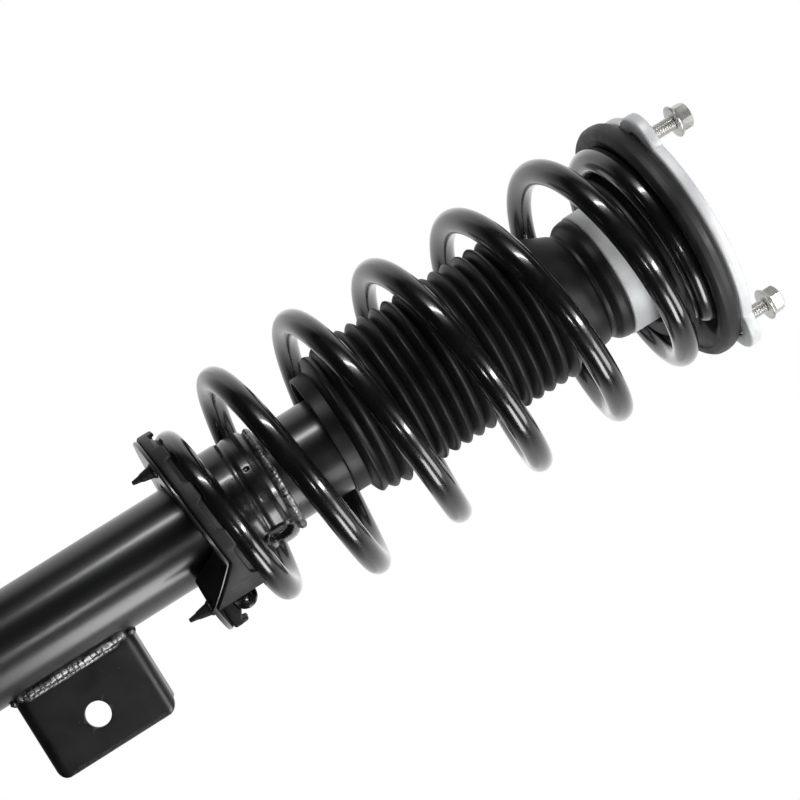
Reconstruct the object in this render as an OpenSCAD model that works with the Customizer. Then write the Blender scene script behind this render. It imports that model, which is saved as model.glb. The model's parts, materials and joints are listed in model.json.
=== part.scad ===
// Front suspension strut with coil spring, dust boot and three-stud top mount.
// Origin: centre of the strut tube's lower end. +Z runs up the strut's axis to the top mount,
// +X points to the stabiliser-link bracket, and the bracket's hole faces -Y. Millimetres.

/* [Strut tube] */
// Outer radius of the strut tube, which the knuckle clamps
tube_r = 27.5; // [27:0.1:28]
// Wall of the strut tube
tube_wall = 2.5; // [2:0.1:3]
// Height of the tube's rolled top edge
tube_top = 345; // [343:1:347]
// Length of the plain land at the bottom that the knuckle clamps
clamp_land = 80; // [60:1:84]
// Radius of the piston rod
rod_r = 11; // [10:0.1:11]
// Running clearance of the rod in its bush and seal
rod_clear = 0.05; // [0.03:0.01:0.08]
// Inner radius of the pressure tube
bore_r = 16; // [15.5:0.1:16.5]

/* [Link bracket] */
// Lower edge of the stabiliser-link bracket
bracket_z = 97; // [93:1:98]
// Length of the bracket along the tube
bracket_len = 72.5; // [70:0.5:76]
// How far the bracket reaches from the tube's axis
bracket_reach = 76.5; // [75:0.5:80]
// Front face of the bracket, ahead of the tube's axis
bracket_front = 8; // [7:0.5:12]
// Depth of the bracket's side walls
bracket_depth = 24; // [22:1:28]
// Sheet thickness of the bracket
sheet = 4; // [3:0.1:4.2]
// Radius of the link's hole
link_hole_r = 7; // [6:0.1:7.5]
// Distance of the link's hole from the tube's axis
link_hole_x = 56; // [54:0.5:58]
// Height of the link's hole above the bracket's lower edge
link_hole_rise = 35; // [33:0.5:38]

/* [Coil spring] */
// Radius of the spring's wire
wire_r = 7; // [6.5:0.1:7]
// Mean radius of the middle coils
coil_r = 67; // [66:0.5:67.5]
// Mean radius of the lowest coil
coil_r_low = 45; // [45:0.5:46]
// Mean radius at the upper end
coil_r_high = 56; // [55:0.5:57]
// Height of the wire's centre at the lower end
coil_z = 229.6; // [229:0.1:230]
// Number of turns
coil_turns = 6.9; // [6.8:0.05:6.9]
// Rise of one middle turn
pitch_mid = 51.5; // [51:0.1:51.6]
// Rise of one turn at the lower end
pitch_low = 13.5; // [13:0.5:14]
// Rise of one turn at the upper end
pitch_high = 10; // [9.5:0.5:10.5]

/* [Boot] */
// Outer radius of the bellows at its ribs
boot_rib_r = 44.8; // [43:0.1:45]
// Outer radius of the bellows between its ribs
boot_root_r = 41; // [39:0.1:42]
// Distance from one rib to the next
boot_pitch = 7.6; // [7.5:0.05:7.6]
// Number of ribs
boot_ribs = 17; // [10:1:17]

/* [Top mount] */
// Height of the mounting face, which meets the suspension tower
face_z = 534.5; // [534.5:0.5:536]
// Thickness of the mount's flange
flange_t = 6.5; // [6:0.5:6.5]
// Outer radius of the mount's hub
hub_r = 36.8; // [36.6:0.1:37]
// Height of the hub's lower edge
hub_z = 483.5; // [483:0.5:484]
// Radius of the circle that the studs stand on
stud_circle = 63.5; // [62:0.5:64]
// Direction of the first stud around the axis, in degrees
stud_angle = 101.5; // [0:0.5:119.5]
// Radius of the studs' plain shank
stud_r = 4; // [3.9:0.1:4]
// Outer radius of the upper rubber ring
ring_r = 71.5; // [71:0.5:72]

/* [Hidden] */
$fn = 96;

tube_bore = tube_r - tube_wall;
cap_floor = 8;
valve_top = 24;
valve_foot = 12;
guide_z = 318;
guide_top = 334;
guide_spigot = 8;
seal_top = 340;
bush_wall = 1.55;
bore_wall = 1.3;

shank_r = 7;
shoulder_z = 494;
washer_t = 3;
sleeve_top = face_z - 4;
sleeve_r = 12;
rod_end_z = face_z + 11;

piston_z = 266;
piston_h = 24;
piston_gap = 0.3;
stub_r = 6;

sweep_step = 4;
wire_sides = 12;
coil_steps = 30;
rubber_gap = 0.3;

seat_t = 2.5;
seat_r = 56;
pin_h = 13;
pad_t = 6;
pad_r = 57;
pad_start = 0;
ramp_start = 296;
ramp_end = 317;
pad_end = 320;
pad_pins = [[222, 49], [320, 51]];
neck_r = 32.7;
neck_top = 275;

bearing_r = 40.2;
ball_r = 2;
ball_z = 520;
ball_count = 26;
cage_w = 2.7;
race_in = 37.3;
race_out = 43.3;
flange_z = face_z - flange_t;
cup_z = 524;
ring_top = 527.4;
bulb_z = 516;
sleeve_z = 500.5;

nut_r = 6.5 / cos(30);
head_r = 7;
head_t = 2.5;
stud_top = face_z + 21.5;
shank_end = face_z + 6;
nut_lift = [14, 15.5, 12.5];

// ---------- shared shapes and rules ----------

// Rises smoothly from 0 to 1.
function ease(u) = let (v = max(0, min(1, u))) v * v * (3 - 2 * v);
// The area under ease(), which goes on rising at slope 1.
function ease_sum(u) = u < 0 ? 0 : u < 1 ? pow(u, 3) - pow(u, 4) / 2 : u - 0.5;

// The spring's centre line: radius and height after t turns. It starts at +X.
function coil_radius(t) = coil_r_low + (coil_r - coil_r_low) * ease((t - 0.3) / 1.7)
    - (coil_r - coil_r_high) * ease(t - 5.4);
function coil_height(t) = coil_z + pitch_low * t
    + (pitch_mid - pitch_low) * 1.7 * ease_sum(t / 1.7)
    - (pitch_mid - pitch_high) * 1.6 * ease_sum((t - 5.2) / 1.6);

// The steel seat's upper face at angle a: it follows the lowest coil, then ramps down to its start.
function seat_high(a) = coil_height(a / 360) - wire_r - pad_t - rubber_gap;
function seat_low(a) = seat_high(0) + pitch_low * (a / 360 - 1);
function seat_face(a) = a < ramp_start ? seat_high(a)
    : a < ramp_end ? seat_high(ramp_start) + (seat_low(ramp_end) - seat_high(ramp_start))
        * (a - ramp_start) / (ramp_end - ramp_start)
    : seat_low(a);

// A ring of points: section's [radius, height] pairs turned to angle a.
function turned(section, a) = [for (p = section) [p[0] * cos(a), p[0] * sin(a), p[1]]];

// Joins n rings of m points each into a closed skin. closed says that the last ring meets the first.
function skin_faces(n, m, closed) = concat(
    [for (i = [0:n - (closed ? 1 : 2)], j = [0:m - 1], k = [0, 1])
        let (a = i * m + j, b = i * m + (j + 1) % m,
             c = ((i + 1) % n) * m + j, d = ((i + 1) % n) * m + (j + 1) % m)
        k == 0 ? [a, b, d] : [a, d, c]],
    closed ? [] : [[for (j = [m - 1:-1:0]) j], [for (j = [0:m - 1]) (n - 1) * m + j]]);

module skin(rings, closed = false) {
    polyhedron([for (ring = rings, p = ring) p], skin_faces(len(rings), len(rings[0]), closed));
}

module ring(r_in, r_out, z0, z1) {
    translate([0, 0, z0]) difference() {
        cylinder(r = r_out, h = z1 - z0);
        translate([0, 0, -1]) cylinder(r = r_in, h = z1 - z0 + 2);
    }
}

// A rectangle from (0, 0) whose far corners, at x = w, have radius r.
module tongue(w, h, r) {
    square([w - r, h]);
    translate([0, r]) square([w, h - 2 * r]);
    for (y = [r, h - r]) translate([w - r, y]) circle(r = r);
}

module around(count, radius, start = 0) {
    for (i = [0:count - 1]) rotate(start + i * 360 / count) translate([radius, 0, 0]) children();
}

// ---------- strut tube and what is fixed to it ----------

module strut_tube() {
    color([0.05, 0.05, 0.055]) difference() {
        union() {
            cylinder(r = tube_r, h = tube_top);
            translate([0, 0, clamp_land]) cylinder(r1 = tube_r, r2 = tube_r + 0.9, h = 2);
            translate([0, 0, clamp_land + 2]) cylinder(r = tube_r + 0.9, h = 2);
            translate([0, 0, clamp_land + 4]) cylinder(r1 = tube_r + 0.9, r2 = tube_r, h = 2);
        }
        translate([0, 0, -1]) cylinder(r = tube_bore, h = seal_top + 1);
        cylinder(r = 20, h = tube_top + 1);
    }
}

module base_cap() {
    color([0.08, 0.08, 0.08]) difference() {
        translate([0, 0, 3]) cylinder(r = tube_bore, h = 11);
        translate([0, 0, cap_floor]) cylinder(r = tube_bore - 2.5, h = 10);
        translate([0, 0, 2]) cylinder(r = 17, h = 3);
    }
}

module base_valve() {
    color([0.55, 0.55, 0.57]) difference() {
        union() {
            translate([0, 0, cap_floor]) cylinder(r = 21, h = valve_foot - cap_floor);
            translate([0, 0, valve_foot]) cylinder(r = bore_r, h = valve_top - valve_foot);
        }
        translate([0, 0, cap_floor - 1]) cylinder(r = 9, h = 7);
        for (a = [0:45:135]) rotate(a) translate([-30, -2, cap_floor - 1]) cube([60, 4, 3]);
        around(8, 11.5) cylinder(r = 1.5, h = valve_top + 1);
    }
}

module check_plate() {
    color([0.7, 0.7, 0.72]) {
        ring(3, 14, valve_top, valve_top + 1);
        translate([0, 0, valve_top]) cylinder(r = 2.95, h = 3);
        ring(2.95, 5, valve_top + 1, valve_top + 3);
    }
}

module pressure_tube() {
    color([0.6, 0.6, 0.62]) ring(bore_r, bore_r + bore_wall, valve_foot, guide_z);
}

module rod_guide() {
    color([0.62, 0.62, 0.6]) difference() {
        union() {
            translate([0, 0, guide_z]) cylinder(r = tube_bore, h = guide_top - guide_z);
            translate([0, 0, guide_z - guide_spigot]) cylinder(r = bore_r, h = guide_spigot);
        }
        translate([0, 0, guide_z - guide_spigot - 1]) cylinder(r = rod_r + rod_clear + bush_wall, h = 40);
        around(4, 20.5, 45) translate([0, 0, guide_z - 1]) cylinder(r = 1.5, h = 30);
    }
}

module rod_guide_bush() {
    color([0.65, 0.5, 0.3])
        ring(rod_r + rod_clear, rod_r + rod_clear + bush_wall, guide_z - guide_spigot + 1, guide_top - 1);
}

module rod_seal() {
    color([0.1, 0.1, 0.1]) rotate_extrude() polygon([
        [rod_r + rod_clear, guide_top + 0.5], [13.5, guide_top + 2.5], [16, guide_top],
        [tube_bore, guide_top], [tube_bore, seal_top], [15, seal_top], [13, seal_top - 1.5],
        [rod_r + rod_clear, seal_top - 0.5]]);
}

module bump_cap() {
    color([0.12, 0.12, 0.12]) difference() {
        translate([0, 0, 330]) cylinder(r = tube_r + 1.5, h = tube_top + 3 - 330);
        translate([0, 0, 329]) cylinder(r = tube_r, h = tube_top - 329);
        cylinder(r = 14, h = tube_top + 4);
        around(3, 21) translate([0, 0, tube_top - 1]) cylinder(r = 2, h = 5);
    }
}

module link_bracket() {
    bend = 7;
    back = bracket_depth - bracket_front;
    color([0.06, 0.06, 0.065]) difference() {
        intersection() {
            translate([20, 0, bracket_z]) rotate([90, 0, 90]) linear_extrude(bracket_reach) difference() {
                translate([back, 0]) mirror([1, 0]) tongue(bracket_depth, bracket_len, bend);
                translate([back + 1, sheet]) mirror([1, 0])
                    tongue(bracket_depth + 1 - sheet, bracket_len - 2 * sheet, bend - sheet);
            }
            translate([20, 30, bracket_z]) rotate([90, 0, 0]) linear_extrude(60)
                tongue(bracket_reach - 20, bracket_len, 6);
            translate([20, -bracket_front, 0]) linear_extrude(300) union() {
                square([bracket_reach - 28, bracket_depth]);
                square([bracket_reach - 20, bracket_depth - 8]);
                translate([bracket_reach - 28, bracket_depth - 8]) circle(r = 8);
            }
        }
        cylinder(r = tube_r, h = 300);
        translate([link_hole_x, 0, bracket_z + link_hole_rise]) rotate([90, 0, 0]) cylinder(r = link_hole_r, h = 40);
    }
}

module bracket_weld() {
    weld_r = 4.2;
    toe_x = sqrt(pow(tube_r, 2) - pow(bracket_front, 2));
    color([0.3, 0.3, 0.3]) {
        difference() {
            translate([toe_x + 2, -bracket_front - 1.2, bracket_z + 5]) cylinder(r = weld_r, h = bracket_len - 10);
            cylinder(r = tube_r, h = 300);
            translate([toe_x - 6, -bracket_front, bracket_z - 1]) cube([40, 40, bracket_len + 2]);
        }
        for (z = [bracket_z, bracket_z + bracket_len]) rotate(-16) rotate_extrude(angle = 48)
            polygon([[tube_r, z], [tube_r + 3.5, z], [tube_r, z + (z > bracket_z ? 3.5 : -3.5)]]);
    }
}

// ---------- lower spring seat, pad and spring ----------

function seat_section(a) = let (z = seat_face(a)) [
    [30.2, z - 1], [32, z - seat_t], [seat_r, z - seat_t], [seat_r, z], [36, z], [neck_r, z + 3.3],
    [neck_r, 258], [neck_r - 0.9, 259], [neck_r - 0.9, 261], [neck_r, 262], [neck_r, 268],
    [30.6, neck_top - 1], [tube_r + 0.15, neck_top], [tube_r + 0.15, 270.5], [30.2, 266.5]];

module lower_spring_seat() {
    color([0.09, 0.09, 0.09])
        skin([for (a = [0:sweep_step:359]) turned(seat_section(a), a)], true);
}

module seat_weld() {
    color([0.25, 0.25, 0.25]) rotate_extrude() polygon([
        [tube_r, neck_top + 0.1], [30.6, neck_top + 0.1], [30.2, neck_top + 1.8], [29, neck_top + 3],
        [tube_r, neck_top + 3.6]]);
}

function pad_section(a) = let (z = seat_face(a) + 0.4, t = a / 360, r = coil_radius(t),
        top = coil_height(t) - wire_r - 1.5, g = (wire_r + 2 * rubber_gap) / cos(15)) concat(
    [[36.5, z], [pad_r, z], [pad_r, top], [pad_r - 1.5, top + 0.8]],
    [for (q = [-45:-30:-135]) [r + g * cos(q), coil_height(t) + g * sin(q)]],
    [[38.5, top], [36.5, top - 1.5]]);

module lower_spring_pad() {
    color([0.13, 0.13, 0.13]) {
        skin([for (a = [pad_start:sweep_step:pad_end]) turned(pad_section(a), a)]);
        for (pin = pad_pins) rotate(pin[0]) translate([pin[1], 0, seat_face(pin[0]) - seat_t - pin_h])
            cylinder(r1 = 0.8, r2 = 3.6, h = pin_h - 0.7);
    }
}

module coil_spring() {
    n = round(coil_turns * coil_steps);
    section = [for (i = [0:n]) let (t = coil_turns * i / n, a = 360 * t, r = coil_radius(t)) [
        for (j = [0:wire_sides - 1]) let (q = j * 360 / wire_sides)
            [(r + wire_r * cos(q)) * cos(a), (r + wire_r * cos(q)) * sin(a),
             coil_height(t) + wire_r * sin(q)]]];
    color([0.04, 0.04, 0.045]) skin(section);
}

// ---------- upper spring seat and bearing ----------

// The last coil's place over angle a, brought back to its start over the last stretch.
function groove_turn(a) = a < 330 ? 6 + a / 360 : 6 + 330 / 360 * (360 - a) / 30;

function ring_section(a) = let (t = groove_turn(a), r = coil_radius(min(t, 6.9)),
        z = coil_height(min(t, 6.9)), g = wire_r + 0.5) concat(
    [[39.5, 510.2], [39.5, sleeve_z], [47.5, sleeve_z], [49, sleeve_z + 1.5], [49, sleeve_z + 3.5],
     [46.2, sleeve_z + 6]],
    [for (q = [180:-30:0]) [min(65.2, max(46.2, r + g * cos(q))), max(bulb_z + 1, z + g * sin(q))]],
    [[66, bulb_z], [ring_r - 2.3, bulb_z], [ring_r - 0.5, bulb_z + 2.3], [ring_r, bulb_z + 5.5],
     [ring_r - 0.6, bulb_z + 9], [ring_r - 2.3, ring_top - 0.2], [66.2, ring_top],
     [66.2, cup_z], [45.7, cup_z], [45.7, 510.2]]);

module upper_spring_pad() {
    color([0.07, 0.07, 0.07])
        skin([for (a = [0:sweep_step:359]) turned(ring_section(a), a)], true);
}

module upper_spring_seat() {
    color([0.4, 0.4, 0.42]) rotate_extrude() polygon([
        [38, 510.5], [45.5, 510.5], [45.5, cup_z + 0.2], [66, cup_z + 0.2], [66, cup_z + 2],
        [43.6, cup_z + 2], [43.6, 512.5], [38, 512.5]]);
}

module race(z0, z1) {
    difference() {
        ring(race_in + 0.5, race_out, z0, z1);
        rotate_extrude() translate([bearing_r, ball_z]) circle(r = ball_r + 0.05);
    }
}

module bearing_lower_race() {
    color([0.75, 0.75, 0.77]) race(512.5, ball_z - 0.8);
}

module bearing_upper_race() {
    color([0.75, 0.75, 0.77]) race(ball_z + 0.8, flange_z);
}

module bearing_cage() {
    color([0.85, 0.8, 0.65]) difference() {
        ring(bearing_r - cage_w, bearing_r + cage_w, ball_z - 0.5, ball_z + 0.5);
        around(ball_count, bearing_r) translate([0, 0, ball_z - 2]) cylinder(r = ball_r + 0.02, h = 4);
    }
}

module bearing_balls() {
    color([0.8, 0.8, 0.82]) around(ball_count, bearing_r) translate([0, 0, ball_z]) sphere(r = ball_r);
}

// ---------- top mount ----------

module mount_outline() {
    intersection_for(i = [0:2]) rotate(stud_angle + 60 + i * 120) translate([-3.5, 0]) circle(r = 72);
    around(3, stud_circle, stud_angle) circle(r = 14);
}

module mount_plate() {
    color([0.78, 0.79, 0.8]) difference() {
        union() {
            translate([0, 0, flange_z]) linear_extrude(flange_t) mount_outline();
            translate([0, 0, hub_z]) cylinder(r = hub_r, h = flange_z - hub_z + 1);
        }
        translate([0, 0, hub_z - 1]) cylinder(r = hub_r - 3, h = flange_z - hub_z + 1);
        cylinder(r = 30, h = face_z + 1);
        around(3, stud_circle, stud_angle) {
            cylinder(r = stud_r + 0.3, h = face_z + 1);
            cylinder(r = head_r + 0.1, h = flange_z + head_t);
        }
    }
}

module mount_studs() {
    color([0.75, 0.75, 0.73]) around(3, stud_circle, stud_angle) {
        translate([0, 0, flange_z]) cylinder(r = head_r, h = head_t);
        translate([0, 0, flange_z + head_t]) cylinder(r = stud_r + 0.2, h = flange_t - head_t);
        translate([0, 0, face_z]) cylinder(r = stud_r, h = shank_end - face_z);
        translate([0, 0, shank_end]) cylinder(r = stud_r - 0.2, h = stud_top - 1 - shank_end);
        translate([0, 0, stud_top - 1]) cylinder(r1 = stud_r - 0.2, r2 = stud_r - 1, h = 1);
    }
}

module stud_nuts() {
    color([0.8, 0.79, 0.76]) for (i = [0:2]) rotate(stud_angle + 120 * i)
        translate([stud_circle, 0, face_z + nut_lift[i]]) difference() {
            union() {
                cylinder(r = 9, h = 1.8);
                rotate(10 + 25 * i) cylinder(r = nut_r, h = 9, $fn = 6);
            }
            translate([0, 0, -1]) cylinder(r = stud_r - 0.15, h = 12);
        }
}

module mount_bush() {
    color([0.1, 0.1, 0.1]) rotate_extrude() polygon([
        [sleeve_r, 500], [15, 498.5], [20, 502], [26, 502], [hub_r - 3, 499], [hub_r - 3, flange_z],
        [30, flange_z], [27, flange_z - 4], [20, flange_z - 4], [sleeve_r, sleeve_top - 1.5]]);
}

module bush_sleeve() {
    color([0.5, 0.5, 0.52]) ring(shank_r + 0.1, sleeve_r, shoulder_z + washer_t, sleeve_top);
}

module rod_washer() {
    color([0.6, 0.6, 0.6]) ring(shank_r + 0.1, 24, sleeve_top, sleeve_top + washer_t);
}

module rod_nut() {
    color([0.7, 0.7, 0.68]) translate([0, 0, sleeve_top + washer_t]) difference() {
        union() {
            cylinder(r = 14, h = 2);
            cylinder(r = 10.5 / cos(30), h = 10, $fn = 6);
        }
        translate([0, 0, -1]) cylinder(r = shank_r + 0.02, h = 12);
    }
}

module piston_rod() {
    color([0.85, 0.86, 0.88]) difference() {
        union() {
            translate([0, 0, piston_z + piston_h]) cylinder(r = rod_r, h = shoulder_z - piston_z - piston_h);
            translate([0, 0, piston_z - 12]) cylinder(r = stub_r, h = piston_h + 12);
            translate([0, 0, shoulder_z]) cylinder(r = shank_r, h = rod_end_z - shoulder_z);
        }
        translate([0, 0, rod_end_z - 5]) cylinder(r = 3.5, h = 6, $fn = 6);
    }
}

module rebound_stop() {
    color([0.15, 0.15, 0.15]) rotate_extrude() polygon([
        [rod_r, 298], [15, 298], [15, 303], [14.2, 308.5], [13, 309.5], [rod_r, 309.5]]);
}

module piston() {
    color([0.5, 0.5, 0.5]) difference() {
        translate([0, 0, piston_z + 3]) cylinder(r = bore_r - piston_gap, h = piston_h - 6);
        cylinder(r = stub_r + 0.05, h = 400);
        around(8, 10.5) cylinder(r = 1.4, h = 400);
        ring(bore_r - 1.5, bore_r + 1, piston_z + 6, piston_z + piston_h - 6);
    }
}

module piston_band() {
    color([0.25, 0.22, 0.15]) ring(bore_r - 1.5, bore_r - rod_clear, piston_z + 6, piston_z + piston_h - 6);
}

module valve_shims() {
    color([0.75, 0.75, 0.78]) for (z = [piston_z, piston_z + piston_h - 3])
        ring(stub_r + 0.05, 9, z, z + 3);
}

module piston_nut() {
    color([0.6, 0.6, 0.6]) translate([0, 0, piston_z - 9]) difference() {
        cylinder(r = 9.5 / cos(30), h = 9, $fn = 6);
        translate([0, 0, -1]) cylinder(r = stub_r + 0.02, h = 11);
    }
}

module bump_washer() {
    color([0.55, 0.55, 0.55]) ring(shank_r + 0.1, 26, shoulder_z, shoulder_z + washer_t);
}

module bump_stop() {
    bore = rod_r + 0.3;
    color([0.8, 0.75, 0.55]) rotate_extrude() polygon([
        [bore, 436], [17, 436], [20, 442], [20, 448], [17.5, 452], [22, 458], [22, 465], [19, 470],
        [24, 476], [24, shoulder_z], [bore, shoulder_z]]);
}

// The bellows' outer edge, one tooth for each rib, from the collar to the plain neck.
boot_ribs_z = 319.2;
boot_neck_z = boot_ribs_z + boot_ribs * boot_pitch;
function boot_teeth(inset) = [for (i = [0:boot_ribs - 1], k = [0, 1, 2])
    [(k == 1 ? boot_rib_r : boot_root_r) - inset, boot_ribs_z + (i + [0.08, 0.5, 0.92][k]) * boot_pitch]];

module dust_boot() {
    wall = 1.8;
    outer = concat([[35.2, 310.8], [35.2, boot_ribs_z - 0.5]], boot_teeth(0),
        [[38.5, boot_neck_z + 2], [34, 468], [32, 472.5], [35.6, 478.5], [36.2, 481.5],
         [36.2, hub_z - 0.1], [hub_r - 3.05, hub_z - 0.1], [hub_r - 3.05, hub_z + 5]]);
    inner = concat([[30.5, 310.8], [30.5, boot_ribs_z - 0.5]], boot_teeth(wall),
        [[36.5, boot_neck_z + 2], [32.2, 467.5], [30.2, 472.5], [31.8, 477], [31.8, hub_z + 5]]);
    color([0.1, 0.1, 0.1]) rotate_extrude()
        polygon(concat(outer, [for (i = [len(inner) - 1:-1:0]) inner[i]]));
}

strut_tube();
base_cap();
base_valve();
check_plate();
pressure_tube();
rod_guide();
rod_guide_bush();
rod_seal();
bump_cap();
link_bracket();
bracket_weld();
lower_spring_seat();
seat_weld();
lower_spring_pad();
coil_spring();
upper_spring_pad();
upper_spring_seat();
bearing_lower_race();
bearing_cage();
bearing_balls();
bearing_upper_race();
mount_plate();
mount_studs();
stud_nuts();
mount_bush();
bush_sleeve();
rod_washer();
rod_nut();
piston_rod();
rebound_stop();
piston();
piston_band();
valve_shims();
piston_nut();
bump_washer();
bump_stop();
dust_boot();
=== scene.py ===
"""Looks of the front suspension strut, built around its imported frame. Lengths are millimetres."""

import json
import math

import bmesh
import bpy
from mathutils import Matrix, Vector, noise


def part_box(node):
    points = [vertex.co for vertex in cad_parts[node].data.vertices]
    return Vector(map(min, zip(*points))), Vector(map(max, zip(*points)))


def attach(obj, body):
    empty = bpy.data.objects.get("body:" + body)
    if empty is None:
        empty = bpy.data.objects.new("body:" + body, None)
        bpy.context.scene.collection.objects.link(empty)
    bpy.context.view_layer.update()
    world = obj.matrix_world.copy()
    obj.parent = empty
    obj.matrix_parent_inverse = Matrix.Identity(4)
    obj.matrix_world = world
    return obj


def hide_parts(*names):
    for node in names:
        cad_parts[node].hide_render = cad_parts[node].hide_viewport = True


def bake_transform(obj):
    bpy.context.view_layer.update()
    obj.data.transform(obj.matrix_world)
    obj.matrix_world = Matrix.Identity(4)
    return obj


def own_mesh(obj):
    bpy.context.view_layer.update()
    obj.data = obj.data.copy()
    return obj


MM = 0.001
TURN = 2 * math.pi

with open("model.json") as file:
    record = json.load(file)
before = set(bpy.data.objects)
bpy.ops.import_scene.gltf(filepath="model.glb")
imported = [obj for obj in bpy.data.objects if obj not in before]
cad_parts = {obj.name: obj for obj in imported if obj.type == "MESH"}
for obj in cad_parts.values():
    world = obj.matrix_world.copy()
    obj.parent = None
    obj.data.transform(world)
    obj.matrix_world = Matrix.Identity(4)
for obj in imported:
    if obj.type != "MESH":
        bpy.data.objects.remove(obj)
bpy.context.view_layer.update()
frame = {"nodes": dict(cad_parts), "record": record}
BODY_OF = {node: body for body, nodes in frame["record"]["behaviour"]["bodies"].items() for node in nodes}
SLOT_OF = {row["node"]: row["material_slot"] for row in frame["record"]["subparts"]}


def span(node):
    """A round node's outer radius and its lowest and highest point."""
    low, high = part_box(node)
    return high.x / MM, low.z / MM, high.z / MM


# ---------- driving dimensions, as in the CAD model ----------

TUBE_R = 27.5
TUBE_BORE = 25
WIRE_R = 7
COIL_TURNS = 6.9
COIL_Z = span("coil_spring")[1] + WIRE_R
COIL_END_R, COIL_SWELL, COIL_DRAW_IN = 45, 22, 11
PITCH_LOW, PITCH_RISE, PITCH_DROP = 13.5, 38, 41.5
SPREAD_TURNS, CLOSE_FROM, CLOSE_TURNS = 1.7, 5.2, 1.6
STUD_CIRCLE = 63.5
STUD_ANGLES = [math.radians(101.5 + 120 * i) for i in range(3)]
BOOT_RIBS = 17
BOOT_PITCH = 7.6
BOOT_RIB_R = 44.8
BOOT_ROOT_R = 40.4
RIBS_Z = 319.2
LINK_HOLE_X, LINK_HOLE_RISE, LINK_HOLE_R = 56, 35, 7
PAD_T, PAD_R, SEAT_T, SEAT_R = 6, 57, 2.5, 56
SEAT_NECK_R = 32.7
RAMP_FROM, RAMP_TO = 296, 317
PAD_END = 318.5
PAD_PINS = [(222, 49), (320, 51)]
PLATE_SIDE_R, PLATE_SIDE_OFFSET = 72, -3.5

# ---------- dimensions of details ----------

PLATE_LOBE_R, PLATE_BLEND = 15, 10.0
SLOT_ANGLE, SLOT_Z = 322, 263.5
DIMPLE_ANGLE, DIMPLE_Z = 249, 265.6
BOOT_LEAN = 5.2
FREE_FROM, FREE_TO = 0.9, 6.0


def ease(u):
    """A smooth step from 0 at u = 0 to 1 at u = 1."""
    v = min(max(u, 0), 1)
    return v * v * (3 - 2 * v)


def ease_sum(u):
    """The area under ease(), which goes on rising at slope 1."""
    if u < 0:
        return 0
    return u ** 3 - u ** 4 / 2 if u < 1 else u - 0.5


def bell(x, width):
    """A smooth bump: 1 at x = 0, near 0 beyond twice its width."""
    return math.exp(-((x / width) ** 2))


def coil_radius(t):
    """Radius of the wire's centre line after t turns. It starts at +X."""
    return COIL_END_R + COIL_SWELL * ease((t - 0.3) / 1.7) - COIL_DRAW_IN * ease(t - 5.4)


def coil_height(t):
    """Height of the centre line: the pitch opens after the lowest turn and closes before the last."""
    opened = PITCH_RISE * SPREAD_TURNS * ease_sum(t / SPREAD_TURNS)
    closed = PITCH_DROP * CLOSE_TURNS * ease_sum((t - CLOSE_FROM) / CLOSE_TURNS)
    return COIL_Z + PITCH_LOW * t + opened - closed


def seat_high(turn):
    """Height of the steel seat's face under the wire after some turns."""
    return coil_height(turn) - WIRE_R - PAD_T - 0.3


def seat_face(a):
    """The steel seat's upper face at angle a, in degrees: it follows the lowest coil, then ramps down."""
    if a < RAMP_FROM:
        return seat_high(a / 360)
    if a < RAMP_TO:
        foot = seat_high(0) + PITCH_LOW * (RAMP_TO / 360 - 1)
        top = seat_high(RAMP_FROM / 360)
        return top + (foot - top) * (a - RAMP_FROM) / (RAMP_TO - RAMP_FROM)
    return seat_high(0) + PITCH_LOW * (a / 360 - 1)


# ---------- camera ----------

def aim_camera():
    """Looks at the strut from -Y, a little below the middle, with the strut's axis at a slant."""
    tilt = math.radians(32)
    eye = Vector((0, -0.9312, 0.2441))
    target = Vector((0, 0, 0.3087))
    shift = 0.11
    forward = (target - eye).normalized()
    along = (Vector((0, 0, 1)) - forward * forward.z).normalized()
    across = along.cross(forward)
    right = along * math.cos(tilt) - across * math.sin(tilt)
    up = across * math.cos(tilt) + along * math.sin(tilt)
    camera = bpy.data.objects.new("camera", bpy.data.cameras.new("camera"))
    camera.data.sensor_width = 36
    camera.data.lens = 78.2
    camera.data.shift_x = shift * math.cos(tilt)
    camera.data.shift_y = shift * math.sin(tilt)
    camera.matrix_world = Matrix.Translation(eye) @ Matrix((right, up, -forward)).transposed().to_4x4()
    bpy.context.scene.collection.objects.link(camera)
    bpy.context.scene.camera = camera


aim_camera()


# ---------- mesh tools ----------

def polar(r, a, z):
    """The point at radius r, angle a and height z."""
    return (r * math.cos(a), r * math.sin(a), z)


def around(steps, start=0.0, sweep=TURN):
    """Angles spaced evenly from start. A part of a turn includes its end."""
    last = steps if abs(sweep - TURN) < 1e-9 else steps - 1
    return [start + sweep * i / last for i in range(steps)]


def fillet(corners, steps=4, closed=True):
    """The outline through (x, y, radius) corners, with an arc of that radius at each one."""
    outline = []
    for i, (x, y, radius) in enumerate(corners):
        end = not closed and i in (0, len(corners) - 1)
        if radius <= 0 or end:
            outline.append((x, y))
            continue
        here = Vector((x, y))
        before = Vector(corners[i - 1][:2]) - here
        after = Vector(corners[(i + 1) % len(corners)][:2]) - here
        half = before.angle(after) / 2
        reach = min(radius / math.tan(half), 0.48 * before.length, 0.48 * after.length)
        radius = reach * math.tan(half)
        middle = (before.normalized() + after.normalized()).normalized()
        centre = here + middle * (radius / math.sin(half))
        first = here + before.normalized() * reach - centre
        last = here + after.normalized() * reach - centre
        turn = math.atan2(first.x * last.y - first.y * last.x, first.dot(last))
        begin = math.atan2(first.y, first.x)
        for k in range(steps + 1):
            a = begin + turn * k / steps
            outline.append((centre.x + radius * math.cos(a), centre.y + radius * math.sin(a)))
    return outline


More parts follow.
